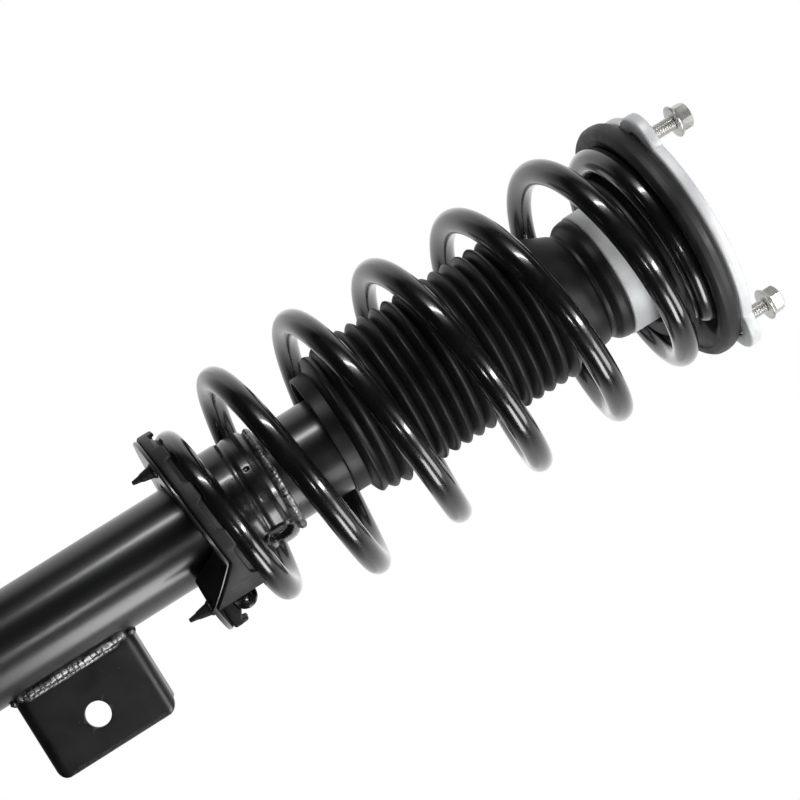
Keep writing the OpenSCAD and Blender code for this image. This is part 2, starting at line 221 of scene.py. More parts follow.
def skin(rings, closed=False, looped=True):
    """Joins rings of points. closed: the last ring meets the first; looped: each ring is a loop."""
    m = len(rings[0])
    points = [p for ring in rings for p in ring]
    faces = []
    for i in range(len(rings) if closed else len(rings) - 1):
        near, far = i * m, (i + 1) % len(rings) * m
        for j in range(m if looped else m - 1):
            k = (j + 1) % m
            faces.append((near + j, near + k, far + k, far + j))
    if not closed and looped:
        faces.append(tuple(range(m - 1, -1, -1)))
        faces.append(tuple(range(len(points) - m, len(points))))
    return points, faces


def lathe(corners, segments=192, steps=4, closed=True):
    """A turned solid. An outline that isn't closed starts and ends on the axis."""
    outline = fillet(corners, steps, closed)
    return skin([[polar(r, a, z) for r, z in outline] for a in around(segments)], True, closed)


def formed(section, segments, steps=3):
    """A turned solid whose corners change with the angle."""
    return skin([[polar(r, a, z) for r, z in fillet(section(a), steps)] for a in around(segments)], True)


def sweep(line, radius, sides=16):
    """A tube along a line of points. radius(i, q) is its radius at point i and angle q."""
    line = [Vector(p) for p in line]
    rings = []
    side = None
    for i, p in enumerate(line):
        tangent = (line[min(i + 1, len(line) - 1)] - line[max(i - 1, 0)]).normalized()
        if side is None:
            side = tangent.orthogonal()
        side = (side - tangent * side.dot(tangent)).normalized()
        other = tangent.cross(side)
        rings.append([
            p + (side * math.cos(q) + other * math.sin(q)) * radius(i, q) for q in around(sides)
        ])
    return skin(rings)


def placed(part, x=0.0, y=0.0, z=0.0, turn=0.0):
    """A part turned about its own Z and moved."""
    points, faces = part
    where = Matrix.Translation((x, y, z)) @ Matrix.Rotation(turn, 4, "Z")
    return [where @ Vector(p) for p in points], faces


def bent(part, move):
    """A part with every point moved by a function."""
    points, faces = part
    return [move(*p) for p in points], faces


def joined(name, parts, bevel=0.0):
    """A mesh in metres made of closed parts in millimetres."""
    points, faces = [], []
    for part_points, part_faces in parts:
        base = len(points)
        points += [Vector(p) * MM for p in part_points]
        faces += [[base + i for i in face] for face in part_faces]
    mesh = bpy.data.meshes.new(name)
    mesh.from_pydata(points, [], faces)
    bm = bmesh.new()
    bm.from_mesh(mesh)
    bmesh.ops.remove_doubles(bm, verts=bm.verts, dist=1e-6)
    bmesh.ops.recalc_face_normals(bm, faces=bm.faces)
    if bevel:
        edges = [e for e in bm.edges if e.is_manifold and e.calc_face_angle(0) > math.radians(50)]
        bmesh.ops.bevel(bm, geom=edges, offset=bevel * MM, segments=3, profile=0.5, affect="EDGES")
    bm.to_mesh(mesh)
    bm.free()
    return mesh


def shown(name, mesh, node, sharp):
    """A smooth-shaded piece with its node's finish. It stands for that node."""
    mesh.shade_smooth()
    mesh.set_sharp_from_angle(angle=math.radians(sharp))
    thing = bpy.data.objects.new(name, mesh)
    bpy.context.scene.collection.objects.link(thing)
    slot = SLOT_OF[node]
    mesh.materials.append(surface(slot))
    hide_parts(node)
    return thing


def piece(name, parts, node, bevel=0.0, sharp=40):
    """Makes a piece from closed parts. It stands for a CAD node and rides on that node's body."""
    thing = shown(name, joined(name, parts, bevel), node, sharp)
    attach(thing, BODY_OF[node])
    return thing


# ---------- materials ----------

# Colours are linear. Sizes are in millimetres: mottle is the size of the slow changes of tone, grain
# that of the fine texture and relief its height; stretch lengthens both along the strut's axis.
# edge_highlight is a painted highlight: a lighter colour laid on convex crests and edges.
FINISHES = {
    "black_tube": dict(
        colour=(0.004, 0.004, 0.0045), light=(0.010, 0.010, 0.0105), roughness=0.32, swing=0.14, mottle=30,
        grain=0.5, relief=0.012, stretch=14, coat=0.6, coat_roughness=0.2, ior=1.7, dust=0.3),
    "black_bracket": dict(
        colour=(0.004, 0.004, 0.0045), light=(0.011, 0.011, 0.012), roughness=0.42, swing=0.14, mottle=12,
        grain=0.6, relief=0.02, coat=0.3, coat_roughness=0.28, ior=1.6, dust=0.8, edge_highlight=(0.08, 0.08, 0.08)),
    "weld_bead": dict(
        colour=(0.04, 0.04, 0.041), light=(0.5, 0.5, 0.5), roughness=0.38, swing=0.2, mottle=2.6,
        grain=0.7, relief=0.05, stretch=4, metallic=0.8, coat=0.4, coat_roughness=0.15),
    "spring_coat": dict(
        colour=(0.003, 0.003, 0.0032), light=(0.006, 0.006, 0.0065), roughness=0.24, swing=0.1,
        mottle=18, grain=2.6, relief=0.03, coat=0.9, coat_roughness=0.07, ior=1.7, dust=0.1),
    "seat_paint": dict(
        colour=(0.004, 0.004, 0.0045), light=(0.011, 0.011, 0.012), roughness=0.32, swing=0.14, mottle=9,
        grain=0.9, relief=0.02, coat=0.6, coat_roughness=0.14, ior=1.7, dust=0.3, edge_highlight=(0.28, 0.28, 0.28)),
    "cast_alloy": dict(
        colour=(0.80, 0.81, 0.82), light=(0.90, 0.91, 0.92), roughness=0.5, swing=0.12, mottle=14,
        grain=0.7, relief=0.03, metallic=0.3, dust=0.2),
    "zinc": dict(
        colour=(0.62, 0.615, 0.59), light=(0.74, 0.73, 0.70), roughness=0.3, swing=0.1, mottle=5,
        grain=1.4, relief=0.006, metallic=0.85),
    "steel": dict(
        colour=(0.42, 0.42, 0.43), light=(0.58, 0.58, 0.59), roughness=0.33, swing=0.12, mottle=5,
        grain=0.3, relief=0.008, stretch=4, metallic=1.0),
    "rod_chrome": dict(
        colour=(0.62, 0.63, 0.65), light=(0.72, 0.73, 0.75), roughness=0.1, swing=0.04, mottle=20,
        grain=0.3, relief=0.002, stretch=0.1, metallic=1.0),
    "black_rubber": dict(
        colour=(0.007, 0.007, 0.0073), light=(0.014, 0.014, 0.0145), roughness=0.5, swing=0.14,
        mottle=11, grain=0.8, relief=0.02, ior=1.55, dust=0.5),
    "boot_rubber": dict(
        colour=(0.006, 0.006, 0.0063), light=(0.012, 0.012, 0.0125), roughness=0.44, swing=0.12, mottle=16,
        grain=0.8, relief=0.015, ior=1.5, dust=0.4),
    "foam": dict(
        colour=(0.55, 0.48, 0.27), light=(0.70, 0.62, 0.38), roughness=0.85, swing=0.1, mottle=6,
        grain=0.9, relief=0.12),
    "sintered": dict(
        colour=(0.17, 0.16, 0.15), light=(0.27, 0.26, 0.25), roughness=0.5, swing=0.12, mottle=3,
        grain=0.25, relief=0.03, metallic=0.9),
    "bronze": dict(
        colour=(0.42, 0.25, 0.10), light=(0.55, 0.36, 0.17), roughness=0.4, swing=0.1, mottle=4,
        grain=0.3, relief=0.01, metallic=1.0),
    "cage_plastic": dict(
        colour=(0.62, 0.55, 0.36), light=(0.72, 0.66, 0.47), roughness=0.45, swing=0.08, mottle=6,
        grain=0.4, relief=0.01),
    "band_plastic": dict(
        colour=(0.09, 0.075, 0.045), light=(0.14, 0.12, 0.08), roughness=0.35, swing=0.08, mottle=4,
        grain=0.3, relief=0.01),
}


class Shader:
    """Adds and links a material's nodes."""

    def __init__(self, tree):
        self.tree = tree

    def add(self, kind, inputs=None, **settings):
        node = self.tree.nodes.new("ShaderNode" + kind)
        for key, value in settings.items():
            setattr(node, key, value)
        for key, value in (inputs or {}).items():
            if isinstance(value, bpy.types.NodeSocket):
                self.tree.links.new(value, node.inputs[key])
            else:
                node.inputs[key].default_value = value
        return node

    def noise(self, where, size, detail=3.0, rough=0.55):
        """Noise with features of a size in millimetres."""
        inputs = {"Vector": where, "Scale": 1 / (size * MM), "Detail": detail, "Roughness": rough}
        return self.add("TexNoise", inputs).outputs["Fac"]

    def ranged(self, value, low, high, to_low, to_high):
        inputs = {"Value": value, "From Min": low, "From Max": high, "To Min": to_low, "To Max": to_high}
        return self.add("MapRange", inputs).outputs["Result"]

    def mixed(self, share, first, second):
        node = self.add("Mix", data_type="RGBA")
        for socket, value in zip((0, 6, 7), (share, first, second)):
            if isinstance(value, bpy.types.NodeSocket):
                self.tree.links.new(value, node.inputs[socket])
            else:
                node.inputs[socket].default_value = value
        return node.outputs[2]


def surface(slot):
    """The material of a record slot, made once."""
    made = bpy.data.materials.get("finish_" + slot)
    if made:
        return made
    look = FINISHES[slot]
    made = bpy.data.materials.new("finish_" + slot)
    made.use_nodes = True
    made.node_tree.nodes.clear()
    shader = Shader(made.node_tree)
    place = shader.add("TexCoord").outputs["Object"]
    stretched = shader.add(
        "Mapping", {"Vector": place, "Scale": (1, 1, 1 / look.get("stretch", 1))}).outputs["Vector"]
    mottle = shader.noise(stretched, look["mottle"], detail=4)
    grain = shader.noise(stretched, look["grain"], detail=2)
    tone = shader.ranged(mottle, 0.35, 0.68, 0, 1)
    colour = shader.mixed(tone, (*look["colour"], 1), (*look["light"], 1))
    if look.get("dust"):
        dots = shader.add("TexVoronoi", {"Vector": place, "Scale": 1 / (2.6 * MM)}).outputs
        spot = shader.ranged(dots["Distance"], 0.05, 0.10, 1, 0)
        chance = shader.add("SeparateColor", {"Color": dots["Color"]}).outputs["Red"]
        some = shader.ranged(chance, 1 - 0.16 * look["dust"], 1 - 0.15 * look["dust"], 0, 0.5)
        share = shader.add("Math", {0: spot, 1: some}, operation="MULTIPLY").outputs[0]
        colour = shader.mixed(share, colour, (0.35, 0.35, 0.34, 1))
    # Painted highlight: convex crests and edges are mixed towards a lighter grey, as if they caught the
    # bright surroundings.
    if look.get("edge_highlight"):
        crest = shader.add("NewGeometry").outputs["Pointiness"]
        broken = shader.add("Math", {0: crest, 1: shader.ranged(grain, 0.3, 0.7, -0.01, 0.01)}).outputs[0]
        share = shader.ranged(broken, 0.545, 0.60, 0, 0.8)
        colour = shader.mixed(share, colour, (*look["edge_highlight"], 1))
    swing = look["swing"]
    roughness = shader.ranged(
        mottle, 0.3, 0.7, look["roughness"] - swing / 2, look["roughness"] + swing / 2)
    bump = shader.add(
        "Bump", {"Strength": 0.6, "Distance": look["relief"] * MM, "Height": grain}).outputs["Normal"]
    body = shader.add("BsdfPrincipled", {
        "Base Color": colour, "Roughness": roughness, "Normal": bump,
        "Metallic": look.get("metallic", 0.0), "IOR": look.get("ior", 1.5),
        "Coat Weight": look.get("coat", 0.0), "Coat Roughness": look.get("coat_roughness", 0.1)})
    shader.add("OutputMaterial", {"Surface": body.outputs["BSDF"]})
    return made


# ---------- strut tube, base and bracket ----------

def make_tube():
    _, low, top = span("strut_tube")
    stop_r = span("strut_tube")[0]
    rolled_r = 20
    piece("tube_shell", [lathe([
        (TUBE_BORE, low, 0.4), (TUBE_R, low, 0.9), (TUBE_R, low + 80, 2.5), (stop_r, low + 82, 1.5),
        (stop_r, low + 84, 1.5), (TUBE_R, low + 86, 2.5), (TUBE_R, top, 3.5), (rolled_r, top, 1),
        (rolled_r, top - 5, 0.4), (TUBE_BORE, top - 5, 1)], 256, 6)], "strut_tube")


def bead(line, size, swell=0.12, pitch=2.1, seed=0.0, fade=2.5):
    """A weld bead along evenly spaced points: overlapping ripples with uneven edges and tapered ends."""
    step = (Vector(line[1]) - Vector(line[0])).length
    length = step * (len(line) - 1)

    def radius(i, q):
        s = i * step
        wander = noise.noise((s * 0.18 + seed, math.cos(q) * 1.3, math.sin(q) * 1.3))
        streak = noise.noise((s * 0.1 + seed, math.cos(q) * 4, math.sin(q) * 4))
        ripple = 1 - swell * ((s / pitch + 0.2 * math.cos(q) + 0.4 * wander) % 1)
        ends = min(1, s / fade, (length - s) / fade)
        return size * (ripple + 0.14 * wander + 0.1 * streak) * math.sqrt(max(0.02, 1 - (1 - ends) ** 2))
    return sweep(line, radius, 20)


def make_base():
    """The cap pressed into the tube's lower end, with its weld."""
    _, low, top = span("base_cap")
    floor, recess = low + 5, low + 2
    cap = lathe([
        (0, recess, 0), (17, recess, 0.8), (17, low, 1), (TUBE_BORE - 0.05, low, 0.8),
        (TUBE_BORE - 0.05, top, 0.5), (TUBE_BORE - 2.5, top, 0.5), (TUBE_BORE - 2.5, floor, 1),
        (0, floor, 0)], 192, 4, False)
    circle = [polar(TUBE_BORE - 1.3, a, low - 0.3) for a in around(220, 0.0, TURN - 0.01)]
    piece("base_cap_pressing", [cap, bead(circle, 1.4, seed=4.0)], "base_cap")


def bracket_edges(y, z, low, high):
    """Where the sheet starts at the tube and ends at its free edge, at a place on its outer face."""
    corner, back_corner = 6, 8
    start = math.sqrt(TUBE_R ** 2 - y ** 2) - 0.3
    end = high.x
    near = min(z - low.z, high.z - z)
    if near < corner:
        end = min(end, high.x - corner + math.sqrt(corner ** 2 - (corner - near) ** 2))
    to_back = high.y - y
    if to_back < back_corner:
        end = min(end, high.x - back_corner + math.sqrt(back_corner ** 2 - (back_corner - to_back) ** 2))
    return start, end


def make_bracket():
    """A pressed channel, open at the back, with the link's hole through its front face."""
    low, high = (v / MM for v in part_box("link_bracket"))
    sheet, bend, hole_r, hole_x, hole_z = 4, 7, LINK_HOLE_R, LINK_HOLE_X, low.z + LINK_HOLE_RISE
    patch, cells = 12, 12
    # Stations round the channel: an outer point and the direction to the sheet's inner face.
    stations = []
    for i in range(9):
        stations.append((high.y - (high.y - low.y - bend) * i / 9, low.z, 0, 1))
    for i in range(8):
        a = math.pi / 2 * i / 8
        stations.append((low.y + bend - bend * math.sin(a), low.z + bend - bend * math.cos(a),
                         math.sin(a), math.cos(a)))
    heights = [low.z + bend, low.z + 13, low.z + 19]
    heights += [hole_z - patch + 2 * patch * i / cells for i in range(cells + 1)]
    heights += [high.z - 20, high.z - 14, high.z - bend]
    stations += [(low.y, z, 1, 0) for z in heights[:-1]]
    for i in range(8):
        a = math.pi / 2 * i / 8
        stations.append((low.y + bend - bend * math.cos(a), high.z - bend + bend * math.sin(a),
                         math.cos(a), -math.sin(a)))
    for i in range(10):
        stations.append((low.y + bend + (high.y - low.y - bend) * i / 9, high.z, 0, -1))
    start, end = bracket_edges(low.y, hole_z, low, high)
    columns = [start, start + 5, start + 10, start + 15]
    columns += [hole_x - patch + 2 * patch * i / cells for i in range(cells + 1)]
    columns += [end - 6, end - 3, end]
    shares = [(x - start) / (end - start) for x in columns]
    points, faces = [], []
    n = len(columns)
    layers = []
    for depth in (0, sheet):
        layers.append(len(points))
        for y, z, to_y, to_z in stations:
            first, last = bracket_edges(y, z, low, high)
            for share in shares:
                points.append((first + (last - first) * share, y + to_y * depth, z + to_z * depth))
    row0 = 9 + 8 + 3
    column0 = 4
    inside = {(row0 + j, column0 + i) for j in range(cells) for i in range(cells)}
    loop = [(row0, column0 + i) for i in range(cells)]
    loop += [(row0 + j, column0 + cells) for j in range(cells)]
    loop += [(row0 + cells, column0 + cells - i) for i in range(cells)]
    loop += [(row0 + cells - j, column0) for j in range(cells)]
    circles = []
    for base in layers:
        for j in range(len(stations) - 1):
            for i in range(n - 1):
                if (j, i) not in inside:
                    a = base + j * n + i
                    faces.append((a, a + 1, a + n + 1, a + n))
        ring = [base + j * n + i for j, i in loop]
        for share in (0.6, 0.25, 0.07, 0.0):
            inner = []
            for j, i in loop:
                x, y, z = points[base + j * n + i]
                away = Vector((x - hole_x, z - hole_z))
                rim = away.normalized() * hole_r
                spot = rim.lerp(away, share)
                inner.append(len(points))
                points.append((hole_x + spot.x, y, hole_z + spot.y))
            for k in range(len(loop)):
                m = (k + 1) % len(loop)
                faces.append((ring[k], ring[m], inner[m], inner[k]))
            ring = inner
        circles.append(ring)
    for k in range(len(loop)):
        m = (k + 1) % len(loop)
        faces.append((circles[0][k], circles[0][m], circles[1][m], circles[1][k]))
    rim = [(0, i) for i in range(n)] + [(j, n - 1) for j in range(1, len(stations))]
    rim += [(len(stations) - 1, i) for i in range(n - 2, -1, -1)]
    rim += [(j, 0) for j in range(len(stations) - 2, 0, -1)]
    for k in range(len(rim)):
        (j, i), (q, p) = rim[k], rim[(k + 1) % len(rim)]
        faces.append((layers[0] + j * n + i, layers[0] + q * n + p, layers[1] + q * n + p,
                      layers[1] + j * n + i))
    piece("link_bracket_sheet", [(points, faces)], "link_bracket", bevel=0.7)


def make_bracket_welds():
    low, high = (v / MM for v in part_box("link_bracket"))
    toe = math.sqrt(TUBE_R ** 2 - low.y ** 2)
    steps = 150
    front = [(toe + 0.6, low.y - 0.6, low.z + 3 + (high.z - low.z - 6) * i / steps)
             for i in range(steps + 1)]
    second = [(toe + 3.2, low.y - 0.2, z - 1) for _, _, z in front[10:-10]]
    parts = [bead(front, 3.3, 0.1, 3.4, 1.0), bead(second, 2.1, 0.12, 2.8, 7.0)]
    for z, lift, seed in ((low.z, 0.3, 2.0), (high.z, -0.3, 3.0)):
        arc = [polar(TUBE_R + 1.1, a, z + lift) for a in around(90, math.radians(-15), math.radians(48))]
        parts.append(bead(arc, 2.1, 0.16, 2.2, seed))
    piece("bracket_weld_beads", parts, "bracket_weld", sharp=70)


# ---------- lower seat, pad and spring ----------

def neck_relief(a, z):
    """How far the seat's neck stands out at an angle in degrees and a height."""
    across = math.radians(a - SLOT_ANGLE) * SEAT_NECK_R
    reach = math.hypot(across / 5.6, (z - SLOT_Z) / 8.2)
    slot = -2.6 * ease((0.86 - reach) / 0.16) + 1.5 * bell(reach - 1.0, 0.13)
    dimple = -1.3 * bell(math.hypot(math.radians(a - DIMPLE_ANGLE) * SEAT_NECK_R, z - DIMPLE_Z), 0.8)
    return slot + dimple - 0.9 * bell(z - 260, 2.0) + 0.35 * bell(z - 270.5, 1.2)


def make_lower_seat():
    inner_r, rows = TUBE_R + 0.15, 60
    top = span("lower_spring_seat")[2]
    segments = 480
    rings = []
    for a in around(segments):
        degrees = math.degrees(a)
        z = seat_face(degrees)
        flange = fillet([
            (30.2, z - 1, 1.2), (32, z - SEAT_T, 2), (SEAT_R, z - SEAT_T, 0.9), (SEAT_R, z, 0.9),
            (36.4, z, 3.4), (SEAT_NECK_R, z + 3.9, 0)], 4, False)[1:]
        foot = z + 3.9
        neck = []
        for k in range(1, rows + 1):
            height = foot + (top - 2 - foot) * k / rows
            taper = 0.3 * max(0, height - 268)
            neck.append((SEAT_NECK_R - taper + neck_relief(degrees, height), height))
        rim = fillet([
            (30.6, top - 1.9, 0), (29.6, top - 0.3, 0.8), (inner_r, top, 0.4), (inner_r, top - 4.5, 0.4),
            (30.2, 266.5, 1.5), (30.2, z - 1, 0)], 3, False)
        rings.append([polar(r, a, h) for r, h in flange + neck + rim])
    piece("lower_seat_pressing", [skin(rings, True)], "lower_spring_seat", sharp=50)
    _, low, _ = span("seat_weld")
    circle = [polar(TUBE_R + 1.3, a, low + 1.2) for a in around(260, 0.2, TURN - 0.01)]
    piece("seat_weld_bead", [bead(circle, 2.3, 0.2, 2.3, 5.0)], "seat_weld", sharp=70)


def lug(a):
    """Shape of the raised lugs round the pad's rim, at angle a in degrees."""
    pitch, half = 30.5, 7
    off = abs((a - 253 + pitch / 2) % pitch - pitch / 2)
    return ease((half - off) / 2.2)


def pad_section(a):
    """The pad's section at angle a in degrees, with a groove for the lowest coil."""
    turn = a / 360
    z, r, height = seat_face(a) + 0.15, coil_radius(turn), coil_height(turn)
    top = height - WIRE_R - 1.5
    groove = WIRE_R + 0.15
    outer = top + 0.8 + 3.2 * lug(a)
    corners = [
        (36.5, z, 0.8), (PAD_R, z, 1.4), (PAD_R, outer, 1.3), (PAD_R - 2.1, outer, 0.9),
        (PAD_R - 2.3, top + 0.6, 0.5)]
    for q in (-45, -60, -75, -90, -105, -120, -135):
        q = math.radians(q)
        corners.append((r + groove * math.cos(q), height + groove * math.sin(q), 0))
    return corners + [(38.5, top, 0.8), (36.5, top - 1.5, 0.8)]


def make_lower_pad():
    steps = 320
    rings = []
    for i in range(steps):
        a = PAD_END * i / (steps - 1)
        rings.append([polar(r, math.radians(a), z) for r, z in fillet(pad_section(a), 3)])
    parts = [skin(rings)]
    for a, out in PAD_PINS:
        base = seat_face(a) - SEAT_T - 0.1
        pin = lathe([
            (0, base - 12.8, 0), (1.1, base - 12.6, 0.4), (1.9, base - 8, 1), (2.3, base - 7.4, 0.4),
            (3.5, base - 1.5, 1), (4.4, base - 0.4, 0.4), (4.4, base + 0.6, 0.2), (0, base + 0.6, 0)],
            48, 3, False)
        x, y, _ = polar(out, math.radians(a), 0)
        parts.append(placed(pin, x, y))
    piece("lower_pad_rubber", parts, "lower_spring_pad", bevel=0.6)


def make_spring():
    """One wire along the coil's centre line, with chamfered ends. Each ring's share of the travel is worked
    out but not applied.
    """
    turns_of_rings = [COIL_TURNS * i / 760 for i in range(761)]
    sides, chamfer = 32, 0.8
    rings, shares = [], []
    for i, t in enumerate(turns_of_rings):
        a = TURN * t
        step = 1e-4
        here = Vector(polar(coil_radius(t), a, coil_height(t)))
        ahead = Vector(polar(coil_radius(t + step), a + TURN * step, coil_height(t + step)))
        tangent = (ahead - here).normalized()
        out = Vector((math.cos(a), math.sin(a), 0))
        out = (out - tangent * out.dot(tangent)).normalized()
        up = tangent.cross(out)
        ends = [(0, WIRE_R)]
        if i == 0:
            ends = [(-chamfer, WIRE_R - chamfer), (-chamfer * 0.3, WIRE_R - chamfer * 0.3)]
        elif i == len(turns_of_rings) - 1:
            ends = [(chamfer * 0.3, WIRE_R - chamfer * 0.3), (chamfer, WIRE_R - chamfer)]
        for shift, radius in ends:
            rings.append([
                here + tangent * shift + (out * math.cos(q) + up * math.sin(q)) * radius
                for q in around(sides)
            ])
            shares += [min(max((t - FREE_FROM) / (FREE_TO - FREE_FROM), 0), 1)] * sides
    points, faces = skin(rings)
    mesh = bpy.data.meshes.new("spring_wire")
    mesh.from_pydata([p * MM for p in points], [], faces)
    wire = shown("spring_wire", mesh, "coil_spring", sharp=50)
    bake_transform(wire)


# ---------- boot, bump stop and upper ring ----------

def rib(u):
    """Shape of one rib from root to root: a rounded crest between V-shaped grooves."""
    return 1 - abs(2 * u - 1) ** 1.75


def make_boot():
    wall, per_rib = 1.6, 14
    _, low, top = span("dust_boot")
    hub_z = span("mount_plate")[1]
    neck_z = RIBS_Z + BOOT_RIBS * BOOT_PITCH
    depth = BOOT_RIB_R - BOOT_ROOT_R
    collar_r = 35.2
    wave = []
    for i in range(BOOT_RIBS * per_rib + 1):
        u = i / per_rib
        crest = BOOT_ROOT_R + depth * min(1, 0.35 + 0.4 * int(u))
        root = BOOT_ROOT_R if u > 0.5 else collar_r
        wave.append((root + (crest - root) * rib(u % 1), RIBS_Z + u * BOOT_PITCH))
    outer = [(collar_r - 1.8, low)] + fillet([
        (collar_r - 1.8, low, 0), (collar_r, low, 0.8), (collar_r, RIBS_Z, 0)], 4, False)[1:-1]
    outer += wave
    outer += fillet([
        (wave[-1][0], neck_z, 0), (38.6, neck_z + 2.4, 2), (35.2, 464, 9), (33.2, 470, 3),
        (31.9, 471.5, 1.5),
        (32.2, 473.8, 1.5), (35.4, 477.2, 5), (36.2, 481, 4), (36.2, hub_z - 0.1, 0.5),
        (33.7, hub_z - 0.1, 0.3), (33.7, top, 0.8), (31.8, top, 0)], 4, False)[1:]
    inner = [(max(r - wall, collar_r - 1.8), z) for r, z in wave]
    inner = [(31.8, 478), (30.2, 474), (30.2, 471), (33.4, 463)] + inner[::-1]
    outline = outer + inner

    def lean(x, y, z):
        """The bellows hangs a little off centre on its neck."""
        return x - BOOT_LEAN * ease((474 - z) / 36), y, z
    boot = skin([[polar(r, a, z) for r, z in outline] for a in around(220)], True)
    bellows = piece("boot_bellows", [bent(boot, lean)], "dust_boot", sharp=50)
    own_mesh(bellows)


def make_bump_stop():
    bore, top = 11.3, span("bump_stop")[2]
    rings = [(17, 0), (20, 6), (20, 12), (17.5, 16), (22, 22), (22, 29), (19, 34), (24, 40)]
    low = span("bump_stop")[1]
    corners = [(bore, low, 0.8)] + [(r, low + z, 2.5) for r, z in rings] + [(24, top, 1), (bore, top, 0.5)]
    foam = piece("bump_stop_foam", [lathe(corners, 128, 6)], "bump_stop", sharp=60)
    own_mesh(foam)


def ring_section(a):
    """The upper rubber: a sleeve inside the spring's end, a groove for its last coil and the outer bulb."""
    degrees = math.degrees(a)
    turn = 6 + degrees / 360 if degrees < 330 else 6 + 330 / 360 * (360 - degrees) / 30
    turn = min(turn, COIL_TURNS)
    bulb_r, bulb_z, sleeve_z, top = 71.5, 516, 500.5, 527.4
    groove = WIRE_R + 0.3
    r, z = coil_radius(turn), coil_height(turn)
    corners = [
        (39.5, 510.2, 0.5), (39.5, sleeve_z, 1.2), (47.5, sleeve_z, 1), (49, sleeve_z + 1.5, 0.8),
        (49, sleeve_z + 3.5, 1.2), (46.2, sleeve_z + 6, 2)]
    for q in (180, 160, 140, 120, 100, 80, 60, 40, 20, 0):
        q = math.radians(q)
        across = min(65.2, max(46.2, r + groove * math.cos(q)))
        corners.append((across, max(bulb_z + 1, z + groove * math.sin(q)), 0))
    return corners + [
        (66, bulb_z, 0.8), (bulb_r - 2.2, bulb_z, 2), (bulb_r - 0.3, bulb_z + 2.5, 2.5),
        (bulb_r, bulb_z + 5.5, 3), (bulb_r - 0.4, bulb_z + 8.6, 3), (bulb_r - 2, top - 0.3, 1.5),
        (66.2, top, 0.8), (66.2, 524, 0.4), (45.7, 524, 0.4), (45.7, 510.2, 0.4)]


def make_upper_ring():
    piece("upper_ring_rubber", [formed(ring_section, 360)], "upper_spring_pad", sharp=50)


# ---------- top mount ----------

def disc_edge(a, radius, x, y):
    """Distance from the axis to a disc's far edge in direction a, or 0 where the ray misses it."""
    along = x * math.cos(a) + y * math.sin(a)
    left = radius ** 2 - (x * x + y * y - along ** 2)
    return along + math.sqrt(left) if left > 0 and along + radius > 0 else 0


def plate_edge(a):
    """The flange's outline: three shallow sides and a lobe round each stud, with soft corners between."""
    sides = []
    for stud in STUD_ANGLES:
        x, y, _ = polar(PLATE_SIDE_OFFSET, stud + TURN / 6, 0)
        sides.append(disc_edge(a, PLATE_SIDE_R, x, y))
    lobes = [0]
    for stud in STUD_ANGLES:
        x, y, _ = polar(STUD_CIRCLE, stud, 0)
        lobes.append(disc_edge(a, PLATE_LOBE_R, x, y))
    side, lobe = min(sides), max(lobes)
    if lobe <= 0:
        return side
    h = max(PLATE_BLEND - abs(side - lobe), 0) / PLATE_BLEND
    return max(side, lobe) + h * h * PLATE_BLEND / 4


def make_plate():
    low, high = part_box("mount_plate")
    face, hub_z = high.z / MM, low.z / MM
    under, hub_r, bore = face - 6.5, 36.8, 30

    def section(a):
        edge = plate_edge(a)
        return [
            (bore, face, 0.9), (edge, face, 1.0), (edge + 0.1, under, 1.6), (hub_r + 0.4, under, 3),
            (hub_r, hub_z, 1.2), (hub_r - 3, hub_z, 0.8), (hub_r - 3, under, 0.6), (bore, under, 0.6)]
    casting = piece("mount_casting", [formed(section, 540)], "mount_plate", sharp=50)
    cutters = []
    for stud in STUD_ANGLES:
        x, y, _ = polar(STUD_CIRCLE, stud, 0)
        cutters.append(placed(lathe([
            (0, under - 2, 0), (7.3, under - 2, 0), (7.3, under + 2.5, 0), (4.25, under + 2.5, 0),
            (4.25, face - 0.5, 0), (5.1, face + 0.4, 0), (5.1, face + 2, 0), (0, face + 2, 0)],
            64, 1, False), x, y))
    drill(casting, cutters)


def drill(thing, cutters):
    """Cuts closed parts out of a piece."""
    mesh = joined("drill", cutters)
    tool = bpy.data.objects.new("drill", mesh)
    bpy.context.scene.collection.objects.link(tool)
    cut = thing.modifiers.new("cut", "BOOLEAN")
    cut.object = tool
    cut.operation = "DIFFERENCE"
    cut.solver = "EXACT"
    graph = bpy.context.evaluated_depsgraph_get()
    result = bpy.data.meshes.new_from_object(thing.evaluated_get(graph))
    thing.modifiers.clear()
    thing.data = result
    result.shade_smooth()
    result.set_sharp_from_angle(angle=math.radians(50))
    bpy.data.objects.remove(tool)


def threaded(outline, thread_from, thread_to, pitch, depth, segments=56):
    """A turned bar through (height, radius) points, with a thread over part of its length."""
    line = fillet([(z, r, 0.25) for z, r in outline], 3, False)
    stations = []
    for (z0, r0), (z1, r1) in zip(line, line[1:]):
        parts = max(1, round(abs(z1 - z0) / (pitch / 8)))
        stations += [(z0 + (z1 - z0) * k / parts, r0 + (r1 - r0) * k / parts) for k in range(parts)]
    stations.append(line[-1])
    rings = []
    for z, r in stations:
        fade = min(1, max(0, z - thread_from) / pitch, max(0, thread_to - z) / (pitch * 0.4))
        ring = []
        for a in around(segments):
            wave = abs(2 * ((z / pitch - a / TURN) % 1) - 1)
            ring.append(polar(max(r - depth * fade * min(1, 1.25 * wave), 0.01), a, z))
        rings.append(ring)
    return skin(rings)


def hexagon(a, across_flats):
    """Distance from the centre to a hexagon's edge in direction a."""
    return across_flats / 2 / math.cos((a + TURN / 12) % (TURN / 6) - TURN / 12)


